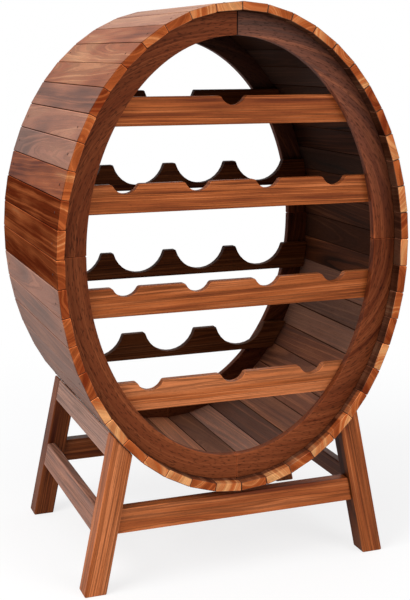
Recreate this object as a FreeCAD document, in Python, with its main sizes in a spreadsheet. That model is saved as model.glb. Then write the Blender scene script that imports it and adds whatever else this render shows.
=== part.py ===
import FreeCAD, Part
import Sketcher
import os

# An oval barrel of straight staves that lies on a splayed stand and holds bottles in four racks.
# Millimetres, X to the right, Y from the front to the back, Z up, the origin on the floor
# below the middle of the barrel.

# Driving dimensions: alias, value, what it measures.
SIZES = (
    ("barrel_width", 500, "across the oval, over the staves"),
    ("barrel_height", 650, "up the oval, over the staves"),
    ("barrel_depth", 333, "length of a stave"),
    ("barrel_level", 439, "floor to the middle of the oval"),
    ("quarter_staves", 12, "staves in each quarter of the oval"),
    ("stave_thickness", 12, "at a joint, square to the oval"),
    ("stave_ease", 0.8, "chamfer along a stave's two outer edges"),
    ("ring_width", 32.5, "from the staves to the ring's opening"),
    ("ring_thickness", 12, "front to back"),
    ("ring_recess", 18, "stave ends to the ring's face"),
    ("rail_thickness", 12, "front to back"),
    ("front_rail_height", 38, "height of a front rail"),
    ("back_rail_height", 40, "height of a back rail"),
    ("rail_end_gap", 2, "rail end to the staves"),
    ("top_rack_level", 201, "rail tops above the middle of the oval"),
    ("upper_rack_level", 88.5, "the same, second rack"),
    ("lower_rack_level", -46, "the same, third rack"),
    ("bottom_rack_level", -172.5, "the same, lowest rack"),
    ("middle_peak", 18.35, "flat between two scoops of the two middle racks"),
    ("bottom_peak", 35.35, "the same, lowest rack"),
    ("neck_radius", 19, "notch for a bottle's neck"),
    ("neck_depth", 12.5, "its depth below the rail's top"),
    ("neck_shoulder", 5, "rounding of its two top edges"),
    ("body_radius", 42, "scoop for a bottle's body"),
    ("body_depth", 32, "its depth below the rail's top"),
    ("body_shoulder", 2.5, "rounding of its two top edges"),
    ("foot_inset", 35, "widest stave to the outer edge of a foot"),
    ("leg_splay", 11.3, "degrees from upright, sideways"),
    ("leg_width", 29, "across a leg, square to its slope"),
    ("leg_depth", 28, "front to back"),
    ("leg_inset", 5, "stave ends to the legs' face"),
    ("side_thickness", 12, "of the side rails and side stretchers"),
    ("side_rail_height", 32, "outer face of an upper side rail"),
    ("stretcher_thickness", 18, "of the front and back stretchers"),
    ("stretcher_height", 32, "of all four stretchers"),
    ("stretcher_gap", 6, "lowest stave to the stretchers' tops"),
    ("nail_radius", 1.4, "head of a nail"),
    ("nail_height", 0.3, "head above the stave"),
    ("nail_setback", 21, "stave end to the nail's middle"),
    ("nail_sides", 8, "flats round a nail's head"),
    ("cut_overrun", 5, "how far a cutting form runs past the piece it cuts"),
)

SPREADSHEET_NAME = "Sizes"
START_INDEX = 1
END_INDEX = 2
CENTRE_INDEX = 3
AXIS_INDEX = -1

document = FreeCAD.newDocument("barrel_wine_rack")
sheet = document.addObject("Spreadsheet::Sheet", SPREADSHEET_NAME)
for row, (alias, value, meaning) in enumerate(SIZES, 1):
    sheet.set(f"A{row}", alias)
    sheet.set(f"B{row}", str(value))
    sheet.set(f"C{row}", meaning)
    sheet.setAlias(f"B{row}", alias)
document.recompute()

pieces = []


def worth(expression):
    """The number that an expression of sheet values gives."""
    return float(sheet.evalExpression(str(expression)))


def keep(item):
    """Counts an object as one piece of the rack."""
    pieces.append(item)
    return item


def plane(body, role):
    """The body's own origin plane with this role."""
    return next(item for item in body.Origin.OriginFeatures if item.Role == role)


def sketch_in(body, name, role):
    """An empty sketch on one of the body's origin planes."""
    sketch = body.newObject("Sketcher::SketchObject", name)
    sketch.AttachmentSupport = (plane(body, role), "")
    sketch.MapMode = "FlatFace"
    return sketch


def bind(sketch, constraint, expression):
    """Adds a dimension to the sketch and ties it to sheet values."""
    index = sketch.addConstraint(constraint)
    sketch.setExpression(f"Constraints[{index}]", str(expression))


def pin_point(sketch, element, point, across, up):
    """Holds one point of an element at (across, up) from the sketch's origin."""
    for direction, distance in (("DistanceX", across), ("DistanceY", up)):
        held = (AXIS_INDEX, START_INDEX, element, point)
        bind(sketch, Sketcher.Constraint(direction, *held, worth(distance)), distance)


def outline(sketch, corners):
    """A closed outline of straight lines through corners given as pairs of expressions."""
    points = [FreeCAD.Vector(worth(across), worth(up), 0) for across, up in corners]
    count = len(points)
    for index, point in enumerate(points):
        sketch.addGeometry(Part.LineSegment(point, points[(index + 1) % count]))
    for index in range(count):
        following = (index + 1) % count
        sketch.addConstraint(
            Sketcher.Constraint("Coincident", index, END_INDEX, following, START_INDEX)
        )
    for index, (across, up) in enumerate(corners):
        pin_point(sketch, index, START_INDEX, across, up)


def board(name, corners, back, depth, level="0"):
    """A board with an upright outline, padded forwards from its back face."""
    body = document.addObject("PartDesign::Body", name)
    face = sketch_in(body, f"{name}_face", "XZ_Plane")
    outline(face, corners)
    pad = body.newObject("PartDesign::Pad", f"{name}_pad")
    pad.Profile = face
    pad.setExpression("Length", depth)
    body.setExpression("Placement.Base.y", back)
    body.setExpression("Placement.Base.z", level)
    document.recompute()
    return body


def cut(name, base, tool):
    """The base with the tool's form taken away."""
    result = document.addObject("Part::Cut", name)
    result.Base = base
    result.Tool = tool
    document.recompute()
    return result


# The oval: x = half width * sin(turn), z = half height * cos(turn), from the top clockwise.
# The staves are equally wide when the turn runs ahead of an even one by the first two terms
# of the ellipse's arc length, whose flatness is (height^2 - width^2) / (height^2 + width^2).
WIDE = "Sizes.barrel_width"
TALL = "Sizes.barrel_height"
FLATNESS = f"({TALL}^2 - {WIDE}^2) / ({TALL}^2 + {WIDE}^2)"


def joint_turn(joint):
    """Turn of a stave joint round the oval, in degrees; joint 0 is at the top."""
    even = f"({joint} * 90 / Sizes.quarter_staves)"
    first = f"45 * {FLATNESS} * sin(2 * {even})"
    second = f"225 / 16 * ({FLATNESS})^2 * sin(4 * {even})"
    return f"({even} + ({first} + {second}) / pi)"


def outer_corner(joint):
    """Where a stave joint meets the outside of the barrel."""
    turn = joint_turn(joint)
    return (f"{WIDE} / 2 * sin({turn})", f"{TALL} / 2 * cos({turn})")


def inner_corner(joint):
    """The outer corner moved in by the stave's thickness, square to the oval."""
    turn = joint_turn(joint)
    slope = f"sqrt(({TALL} * sin({turn}))^2 + ({WIDE} * cos({turn}))^2)"
    return (
        f"({WIDE} / 2 - Sizes.stave_thickness * {TALL} / {slope}) * sin({turn})",
        f"({TALL} / 2 - Sizes.stave_thickness * {WIDE} / {slope}) * cos({turn})",
    )


QUARTER = round(worth("Sizes.quarter_staves"))
STAVES = 4 * QUARTER
LEVEL = "Sizes.barrel_level"
DEEP = "Sizes.barrel_depth"
STAVE = "Sizes.stave_thickness"


def edges_through(feature, spots):
    """Names of the feature's front-to-back edges that lie nearest to the given spots."""
    running = [
        (f"Edge{number}", edge.CenterOfMass)
        for number, edge in enumerate(feature.Shape.Edges, 1)
        if edge.BoundBox.YLength > edge.BoundBox.XLength + edge.BoundBox.ZLength
    ]
    names = []
    for across, up in spots:
        nearest = min(running, key=lambda one: (one[1].x - across) ** 2 + (one[1].z - up) ** 2)
        names.append(nearest[0])
    return names


def dress(body, kind, property_name, size, spots):
    """Chamfers or fillets the body's front-to-back edges at the given spots."""
    base = body.Tip
    feature = body.newObject(f"PartDesign::{kind}", f"{body.Name}_{kind.lower()}")
    feature.Base = (base, edges_through(base, spots))
    feature.setExpression(property_name, size)
    body.Tip = feature
    document.recompute()


# Staves: each has a flat outside, a flat inside and joint faces square to the oval, so that
# neighbours close face to face. Two neighbouring staves make one node, as separate solids.
def stave(number):
    """One stave, clockwise from the top."""
    corners = (
        outer_corner(number),
        outer_corner(number + 1),
        inner_corner(number + 1),
        inner_corner(number),
    )
    body = board(f"stave_{number + 1:02d}", corners, f"{DEEP} / 2", DEEP, LEVEL)
    spots = [(worth(across), worth(up)) for across, up in corners[:2]]
    dress(body, "Chamfer", "Size", "Sizes.stave_ease", spots)
    return body


def group(name, members):
    """Separate solids that share one node."""
    result = document.addObject("Part::Compound", name)
    result.Links = members
    document.recompute()
    return keep(result)


for pair in range(STAVES // 2):
    group(f"stave_pair_{pair + 1:02d}", [stave(2 * pair), stave(2 * pair + 1)])


# Rings: four quarters each, butted at the top, bottom and sides. Outside they follow the flat
# insides of the staves, inside they make one smooth oval opening.
def oval_form(name, half_width, half_height, length):
    """A solid of oval section that runs from front to back through the barrel."""
    oval = document.addObject("Part::Ellipse", f"{name}_outline")
    oval.Placement.Rotation = FreeCAD.Rotation(
        FreeCAD.Vector(0, 0, 1), FreeCAD.Vector(1, 0, 0), FreeCAD.Vector(0, 1, 0), "XZY"
    )
    oval.setExpression("MajorRadius", half_height)
    oval.setExpression("MinorRadius", half_width)
    oval.setExpression("Placement.Base.z", LEVEL)
    form = document.addObject("Part::Extrusion", name)
    form.Base = oval
    form.DirMode = "Custom"
    form.Dir = FreeCAD.Vector(0, 1, 0)
    form.setExpression("LengthFwd", length)
    form.Symmetric = True
    form.Solid = True
    document.recompute()
    return form


RING_OPENING = oval_form(
    "ring_opening",
    f"{WIDE} / 2 - {STAVE} - Sizes.ring_width",
    f"{TALL} / 2 - {STAVE} - Sizes.ring_width",
    f"{DEEP} + 2 * Sizes.cut_overrun",
)
RING_BACKS = {
    "front": f"-{DEEP} / 2 + Sizes.ring_recess + Sizes.ring_thickness",
    "back": f"{DEEP} / 2 - Sizes.ring_recess",
}
QUARTERS = ("upper_right", "lower_right", "lower_left", "upper_left")


def ring_quarter(end, place, first_joint):
    """A quarter of a ring, from one stave joint to the one a quarter further round."""
    name = f"{end}_ring_{place}"
    corners = [inner_corner(first_joint + step) for step in range(QUARTER + 1)]
    corners.append(("0", "0"))
    blank = board(f"{name}_blank", corners, RING_BACKS[end], "Sizes.ring_thickness", LEVEL)
    return keep(cut(name, blank, RING_OPENING))


for end in RING_BACKS:
    for turn, place in enumerate(QUARTERS):
        ring_quarter(end, place, turn * QUARTER)


# Racks: a front rail with notches for the necks and a back rail with deeper scoops for the
# bodies, each against the inner face of its ring.
RACKS = {"upper": "middle", "lower": "middle", "bottom": "bottom", "top": None}
RAILS = {
    "front": ("neck", "Sizes.front_rail_height", f"{RING_BACKS['front']} + Sizes.rail_thickness"),
    "back": ("body", "Sizes.back_rail_height", f"{RING_BACKS['back']} - Sizes.ring_thickness"),
}


def rail_end(height):
    """Half the length of a rail at this height above the middle of the oval."""
    across = f"({WIDE} / 2 - {STAVE})"
    up = f"({TALL} / 2 - {STAVE})"
    return f"({across} * sqrt(1 - ({height} / {up})^2) - Sizes.rail_end_gap)"


def half_width(shape):
    """Half the width of a notch or scoop at the rail's top, from its radius and depth."""
    radius = f"Sizes.{shape}_radius"
    depth = f"Sizes.{shape}_depth"
    return f"sqrt({depth} * (2 * {radius} - {depth}))"


def places_and_pitch(top, peak):
    """How many bottles a rack takes and their spacing; the top rack takes one."""
    if peak is None:
        return "1", "0"
    pitch = f"(2 * {half_width('body')} + Sizes.{peak}_peak)"
    return f"floor(2 * {rail_end(top)} / {pitch})", pitch


def rail(end, rack, peak):
    """A rail whose ends follow the barrel, with one notch for each bottle."""
    shape, height, back = RAILS[end]
    top = f"Sizes.{rack}_rack_level"
    bottom = f"({top} - {height})"
    corners = (
        (f"-{rail_end(bottom)}", bottom),
        (rail_end(bottom), bottom),
        (rail_end(top), top),
        (f"-{rail_end(top)}", top),
    )
    body = board(f"{rack}_rack_{end}_rail", corners, back, "Sizes.rail_thickness", LEVEL)
    radius = f"Sizes.{shape}_radius"
    places, pitch = places_and_pitch(top, peak)
    first = f"-({places} - 1) / 2 * {pitch}"
    count = round(worth(places))

    circle = sketch_in(body, f"{body.Name}_notch", "XZ_Plane")
    circle.addGeometry(Part.Circle(FreeCAD.Vector(), FreeCAD.Vector(0, 0, 1), worth(radius)))
    bind(circle, Sketcher.Constraint("Radius", 0, worth(radius)), radius)
    pin_point(circle, 0, CENTRE_INDEX, first, f"{top} + {radius} - Sizes.{shape}_depth")
    pocket = body.newObject("PartDesign::Pocket", f"{body.Name}_pocket")
    pocket.Profile = circle
    pocket.Type = "ThroughAll"
    pocket.Midplane = True
    document.recompute()
    if count > 1:
        row = body.newObject("PartDesign::LinearPattern", f"{body.Name}_row")
        row.Originals = [pocket]
        row.Direction = (circle, ["H_Axis"])
        row.setExpression("Length", f"({places} - 1) * {pitch}")
        row.setExpression("Occurrences", places)
        body.Tip = row
        document.recompute()

    spots = [
        (worth(first) + number * worth(pitch) + side * worth(half_width(shape)), worth(top))
        for number in range(count)
        for side in (-1, 1)
    ]
    dress(body, "Fillet", "Radius", f"Sizes.{shape}_shoulder", spots)
    return keep(body)


for rack, peak in RACKS.items():
    for end in RAILS:
        rail(end, rack, peak)


# Stand: four legs splayed sideways and cut to the staves that lie on them, an upper rail
# under each side of the barrel, and four stretchers low down.
SPLAY = "tan(Sizes.leg_splay)"
FOOT_REACH = f"({WIDE} / 2 - Sizes.foot_inset)"
LEG_ACROSS = "(Sizes.leg_width / cos(Sizes.leg_splay))"
SIDE_ACROSS = "(Sizes.side_thickness / cos(Sizes.leg_splay))"
STRETCHER_TOP = f"({LEVEL} - {TALL} / 2 - Sizes.stretcher_gap)"
STRETCHER_BOTTOM = f"({STRETCHER_TOP} - Sizes.stretcher_height)"
LEG_BACKS = {
    "front": f"-{DEEP} / 2 + Sizes.leg_inset + Sizes.leg_depth",
    "back": f"{DEEP} / 2 - Sizes.leg_inset",
}
SIDES = {"left": -1, "right": 1}
BARREL_FORM = board(
    "barrel_form", [outer_corner(joint) for joint in range(STAVES)], f"{DEEP} / 2", DEEP, LEVEL
)


def outer_face(height):
    """Distance of the legs' outer faces from the middle at this height."""
    return f"({FOOT_REACH} - {SPLAY} * {height})"


def leg_meets_oval():
    """Height at which the legs' outer faces reach the oval, the lower root of a quadratic."""
    square = f"(({SPLAY} * 2 / {WIDE})^2 + (2 / {TALL})^2)"
    linear = f"({SPLAY} * {FOOT_REACH} * (2 / {WIDE})^2 + {LEVEL} * (2 / {TALL})^2)"
    constant = f"(({FOOT_REACH} * 2 / {WIDE})^2 + ({LEVEL} * 2 / {TALL})^2 - 1)"
    return f"(({linear} - sqrt({linear}^2 - {square} * {constant})) / {square})"


def splayed(side, across, bottom, top):
    """Corners of a bar that leans with the legs and has its outer face on theirs."""
    return (
        (f"{side} * {outer_face(bottom)}", bottom),
        (f"{side} * {outer_face(top)}", top),
        (f"{side} * ({outer_face(top)} - {across})", top),
        (f"{side} * ({outer_face(bottom)} - {across})", bottom),
    )


for end, back in LEG_BACKS.items():
    for place, side in SIDES.items():
        corners = splayed(side, LEG_ACROSS, "0", LEVEL)
        blank = board(f"{end}_{place}_leg_blank", corners, back, "Sizes.leg_depth")
        keep(cut(f"{end}_{place}_leg", blank, BARREL_FORM))

BETWEEN_LEGS = f"({DEEP} - 2 * Sizes.leg_inset - 2 * Sizes.leg_depth)"
SIDE_RAIL_BOTTOM = f"({leg_meets_oval()} - Sizes.side_rail_height)"
for place, side in SIDES.items():
    corners = splayed(side, SIDE_ACROSS, SIDE_RAIL_BOTTOM, LEVEL)
    blank = board(f"{place}_upper_rail_blank", corners, f"{BETWEEN_LEGS} / 2", BETWEEN_LEGS)
    keep(cut(f"{place}_upper_rail", blank, BARREL_FORM))
    corners = splayed(side, SIDE_ACROSS, STRETCHER_BOTTOM, STRETCHER_TOP)
    keep(board(f"{place}_stretcher", corners, f"{BETWEEN_LEGS} / 2", BETWEEN_LEGS))


def stretcher_end(height):
    """Half the length of the front and back stretchers at this height."""
    return f"({outer_face(height)} - {LEG_ACROSS})"


for end, back in LEG_BACKS.items():
    corners = (
        (f"-{stretcher_end(STRETCHER_BOTTOM)}", STRETCHER_BOTTOM),
        (stretcher_end(STRETCHER_BOTTOM), STRETCHER_BOTTOM),
        (stretcher_end(STRETCHER_TOP), STRETCHER_TOP),
        (f"-{stretcher_end(STRETCHER_TOP)}", STRETCHER_TOP),
    )
    face = f"{back} - (Sizes.leg_depth - Sizes.stretcher_thickness) / 2"
    keep(board(f"{end}_stretcher", corners, face, "Sizes.stretcher_thickness"))


# Nails: one head in the middle of each stave near each end, over the ring inside.
NAIL_LEVELS = {
    "front": f"-{DEEP} / 2 + Sizes.nail_setback",
    "back": f"{DEEP} / 2 - Sizes.nail_setback",
}


def nail(end, number):
    """The head of a nail, flat on the outside of one stave."""
    left, start = outer_corner(number)
    right, stop = outer_corner(number + 1)
    head = document.addObject("Part::Prism", f"{end}_nail_{number + 1:02d}")
    head.setExpression("Polygon", "Sizes.nail_sides")
    head.setExpression("Circumradius", "Sizes.nail_radius")
    head.setExpression("Height", "Sizes.nail_height")
    head.Placement.Rotation = FreeCAD.Rotation(FreeCAD.Vector(0, 1, 0), 1)
    head.setExpression("Placement.Rotation.Angle", f"atan2({start} - {stop}; {right} - {left})")
    head.setExpression("Placement.Base.x", f"({left} + {right}) / 2")
    head.setExpression("Placement.Base.y", NAIL_LEVELS[end])
    head.setExpression("Placement.Base.z", f"({start} + {stop}) / 2 + {LEVEL}")
    return head


for end in NAIL_LEVELS:
    group(f"{end}_nails", [nail(end, number) for number in range(STAVES)])

document.recompute()
faults = [
    f"{item.Label}: {item.State}"
    for item in document.Objects
    if {"Invalid", "Error"} & set(item.State)
]
faults += [
    f"{item.Label}: no valid shape"
    for item in pieces
    if item.Shape.isNull() or not item.Shape.isValid()
]
if faults:
    raise RuntimeError("; ".join(faults))

os.makedirs("parts", exist_ok=True)
for item in pieces:
    item.Shape.exportStep(f"parts/{item.Label}.step")
print(f"{len(pieces)} nodes, {sum(len(item.Shape.Solids) for item in pieces)} solids")
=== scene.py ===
import math

import bpy
import numpy as np
from mathutils import Matrix, Vector


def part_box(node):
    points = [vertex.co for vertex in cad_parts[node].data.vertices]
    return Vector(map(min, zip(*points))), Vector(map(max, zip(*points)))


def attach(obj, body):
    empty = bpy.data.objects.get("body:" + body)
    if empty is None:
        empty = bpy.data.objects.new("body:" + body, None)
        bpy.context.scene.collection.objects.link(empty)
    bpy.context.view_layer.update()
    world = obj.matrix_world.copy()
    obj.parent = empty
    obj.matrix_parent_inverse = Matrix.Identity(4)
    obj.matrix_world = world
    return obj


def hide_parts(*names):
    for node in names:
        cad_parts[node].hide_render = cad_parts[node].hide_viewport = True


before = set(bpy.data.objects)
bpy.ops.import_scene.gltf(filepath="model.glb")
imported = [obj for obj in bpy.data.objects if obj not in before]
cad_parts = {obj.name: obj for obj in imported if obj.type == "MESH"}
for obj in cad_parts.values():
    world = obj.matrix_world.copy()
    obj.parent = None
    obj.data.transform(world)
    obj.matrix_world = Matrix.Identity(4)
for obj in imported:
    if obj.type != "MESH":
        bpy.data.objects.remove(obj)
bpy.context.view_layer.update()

bl_info = {
    "name": "Barrel wine rack",
    "version": (1, 0, 0),
    "blender": (4, 5, 0),
    "location": "View3D > Sidebar > Wine Rack",
    "description": "Builds an oval barrel of oiled acacia staves on a splayed stand",
    "category": "Add Mesh",
}

MM = 0.001
WHITE = (1.0, 1.0, 1.0, 1.0)
# Steps round a corner of an outline, round the rim of a sawn end and round a notch.
CORNER_STEPS = 4
RIM_STEPS = 3
NOTCH_STEPS = 14
# How much rounder the long edges of rails and legs are than the rims of their sawn ends.
LONG_EDGE = 1.4
# Metres of log that the boards are cut from, and for each kind of board the ranges of how
# far beside it and through from it the heart of the log passes, in metres, and the most that
# the heart leans across and through for each metre along the board.
LOG_LENGTH = 20
BOARDS = {
    "stave": ((0.005, 0.05), (0.008, 0.04), (0.05, 0.06)),
    "rail": ((0.03, 0.07), (0.0, 0.02), (0.02, 0.02)),
    "leg": ((-0.02, 0.02), (0.03, 0.07), (0.03, 0.03)),
    "stretcher": ((0.02, 0.06), (0.0, 0.03), (0.02, 0.02)),
}


def box_of(node):
    """Lowest and highest corner of a node of the frame, as arrays in metres."""
    low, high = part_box(node)
    return np.array(low), np.array(high)


# The pair of staves above 3 o'clock ends at the height of the oval's middle.
BARREL_FRONT, BARREL_BACK = (corner[1] for corner in box_of("stave_pair_06"))
MIDDLE = box_of("stave_pair_06")[0][2]
# How far the two faces of the front ring lie behind the front of the barrel.
RING_FACES = [corner[1] - BARREL_FRONT for corner in box_of("front_ring_upper_right")]


def linear(code):
    """A linear RGBA colour from an sRGB hex code."""
    share = np.array([int(code[place:place + 2], 16) / 255 for place in (1, 3, 5)])
    low = share / 12.92
    high = ((share + 0.055) / 1.055) ** 2.4
    return (*np.where(share <= 0.04045, low, high).tolist(), 1.0)


def length(name, description, default):
    """A property for a real length, in metres."""
    return bpy.props.FloatProperty(
        name=name, description=description, default=default, min=0.0, precision=4,
        subtype="DISTANCE", unit="LENGTH",
    )


def tint(name, description, code):
    """A property for a colour, from its sRGB hex code."""
    return bpy.props.FloatVectorProperty(
        name=name, description=description, default=linear(code), size=4, min=0.0, max=1.0,
        subtype="COLOR",
    )


class BarrelSizes(bpy.types.PropertyGroup):
    """Sizes of the oval barrel and its rings."""

    half_width: length("Half width", "Middle of the oval to its side", 0.2500)
    half_height: length("Half height", "Middle of the oval to its top", 0.3250)
    thickness: length("Stave thickness", "Thickness of a stave", 0.0120)
    quarter: bpy.props.IntProperty(
        name="Staves in a quarter", description="Staves from the top to one side", default=12, min=3
    )
    ring_width: length("Ring width", "Staves to the ring's opening", 0.0325)
    seam: length("Seam", "Half the gap between two neighbours", 0.0002)
    corner: length("Corner", "Rounding of a stave's long edges", 0.0015)
    end: length("End", "Rounding of a sawn end", 0.0011)
    unevenness: length("Unevenness", "How far a stave may sit back from its place", 0.0006)


class RackSizes(bpy.types.PropertyGroup):
    """Sizes of the notched rails."""

    neck_radius: length("Neck radius", "Notches of the front rails", 0.0190)
    neck_depth: length("Neck depth", "Depth of those notches", 0.0125)
    neck_shoulder: length("Neck shoulder", "Rounding of their top edges", 0.0050)
    body_radius: length("Body radius", "Scoops of the back rails", 0.0420)
    body_depth: length("Body depth", "Depth of those scoops", 0.0320)
    body_shoulder: length("Body shoulder", "Rounding of their top edges", 0.0025)
    middle_peak: length("Middle peak", "Flat between two scoops, middle racks", 0.01835)
    bottom_peak: length("Bottom peak", "Flat between two scoops, lowest rack", 0.03535)
    end_gap: length("End gap", "Rail end to the staves", 0.0020)
    edge: length("Edge", "Rounding of a rail's edges", 0.0010)


class StandSizes(bpy.types.PropertyGroup):
    """Sizes of the stand."""

    splay: bpy.props.FloatProperty(
        name="Splay", description="Lean of the legs from upright", default=math.radians(11.3),
        min=0.0, max=math.radians(40), subtype="ANGLE", unit="ROTATION",
    )
    foot_reach: length("Foot reach", "Middle to the outer edge of a foot", 0.2150)
    leg_width: length("Leg width", "Across a leg, square to its slope", 0.0290)
    side_thickness: length("Side thickness", "Side rails and side stretchers", 0.0120)
    edge: length("Edge", "Rounding of the stand's edges", 0.0014)


class WoodColours(bpy.types.PropertyGroup):
    """Colours of the oiled wood and the nails."""

    stave_light: tint("Stave light", "Sapwood of a stave's face", "#C08460")
    stave_mid: tint("Stave middle", "Heartwood of a stave's face", "#955538")
    stave_dark: tint("Stave dark", "Dark figure of a stave's face", "#552614")
    # Dark wood inside the barrel, which painted light lightens at the bottom and painted shade
    # darkens at the upper right.
    inside_light: tint("Inside light", "Light figure inside the barrel", "#9A5E3A")
    inside_mid: tint("Inside middle", "Stained wood inside the barrel", "#5C301A")
    inside_dark: tint("Inside dark", "Darkest wood inside the barrel", "#1E0F08")
    end_light: tint("End light", "Sapwood of a sawn end", "#D49862")
    end_mid: tint("End middle", "Heartwood of a sawn end", "#A9572B")
    end_dark: tint("End dark", "Dark rings of a sawn end", "#6C2A12")
    ring_light: tint("Ring light", "Light figure of the rings", "#8A4828")
    ring_mid: tint("Ring middle", "Ground of the rings", "#672F17")
    ring_dark: tint("Ring dark", "Dark figure of the rings", "#421A0B")
    rail_light: tint("Rail light", "Light grain of rails and stand", "#CB7848")
    rail_mid: tint("Rail middle", "Ground of rails and stand", "#A45629")
    rail_dark: tint("Rail dark", "Dark grain of rails and stand", "#5C2311")
    # The colour of the painted reflection haze, a grey sheen laid into the wood's colour.
    reflection_haze: tint("Haze", "Wood where it is bleached and greyed", "#9D8174")
    nail: tint("Nail", "Dull nail heads", "#3A2620")


def joint_turns(sizes):
    """Turns of the stave joints round the oval, in radians from the top clockwise.

    An even turn plus the first two terms of the ellipse's arc length, of its flatness
    f = (height^2 - width^2) / (height^2 + width^2): f/4 sin(2e) + 5f^2/64 sin(4e).
    """
    even = np.arange(4 * sizes.quarter + 1) * np.pi / 2 / sizes.quarter
    wide = sizes.half_width ** 2
    tall = sizes.half_height ** 2
    flatness = (tall - wide) / (tall + wide)
    return even + flatness / 4 * np.sin(2 * even) + 5 / 64 * flatness ** 2 * np.sin(4 * even)


def oval(turns, sizes, depth=0.0):
    """Points (a sin t, b cos t) of the oval, moved in by a depth square to it."""
    across, up = sizes.half_width, sizes.half_height
    normal = np.stack([up * np.sin(turns), across * np.cos(turns)], axis=-1)
    normal /= np.linalg.norm(normal, axis=-1, keepdims=True)
    return np.stack([across * np.sin(turns), up * np.cos(turns)], axis=-1) - depth * normal


def soften(points, radii):
    """Rounds the corners of a closed outline whose radius isn't zero.

    At a corner with half angle h the arc's middle lies radius / sin h along the bisector, and
    the arc touches the two sides radius / tan h from the corner. Returns the points and how
    far each is round its corner, 0 to 1 to 0.
    """
    radii = np.broadcast_to(np.asarray(radii, float), len(points))[:, None]
    before = np.roll(points, 1, axis=0) - points
    after = np.roll(points, -1, axis=0) - points
    before /= np.linalg.norm(before, axis=1, keepdims=True)
    after /= np.linalg.norm(after, axis=1, keepdims=True)
    half = np.arccos(np.clip(np.sum(before * after, axis=1, keepdims=True), -1, 1)) / 2
    bisector = before + after
    bisector /= np.maximum(np.linalg.norm(bisector, axis=1, keepdims=True), 1e-9)
    middle = bisector * radii / np.sin(half)
    start = before * radii / np.tan(half) - middle
    stop = after * radii / np.tan(half) - middle
    sweep = (np.pi - 2 * half)[:, None, :]
    share = np.linspace(0, 1, CORNER_STEPS + 1)[None, :, None]
    spread = np.maximum(np.sin(sweep), 1e-9)
    curve = (points + middle)[:, None] + (np.sin((1 - share) * sweep) * start[:, None]
                                          + np.sin(share * sweep) * stop[:, None]) / spread
    sharp = radii[:, 0] == 0
    curve[sharp] = points[sharp][:, None]
    keep = np.ones(curve.shape[:2], bool)
    keep[sharp, 1:] = False
    bend = np.where(sharp[:, None], 0, 4 * share[..., 0] * (1 - share[..., 0]))
    return curve[keep], bend[keep]


def counter_clockwise(points, bend):
    """The outline in counter-clockwise order, seen from the front."""
    following = np.roll(points, -1, axis=0)
    area = np.sum(points[:, 0] * following[:, 1] - following[:, 0] * points[:, 1])
    return (points, bend) if area > 0 else (points[::-1], bend[::-1])


def inward(points):
    """Unit directions into a counter-clockwise outline, square to the line of its neighbours."""
    run = np.roll(points, -1, axis=0) - np.roll(points, 1, axis=0)
    side = np.stack([-run[:, 1], run[:, 0]], axis=1)
    return side / np.linalg.norm(side, axis=1, keepdims=True)


def from_end(places, ends):
    """Distance of places from the nearer one of a piece's two ends."""
    return np.minimum(places[:, 1] - ends[0], ends[1] - places[:, 1])


# What the wood reads at each point of a piece, with what it is unless the piece says more:
# tone and end_tone, from dark to light, on planed faces and sawn ends, raw, the share of
# freshly sawn wood, stain_and_painted_light, the share of light that stain and painted light
# and shade leave, painted_reflection, the share of painted reflection haze, and figure, the
# boldness of the bands. Staves also say how strong their sheen is.
PLAIN_LOOKS = {"tone": 0.5, "end_tone": 0.0, "raw": 0.0, "stain_and_painted_light": 1.0, "painted_reflection": 0.0,
               "figure": 1.0}


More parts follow.
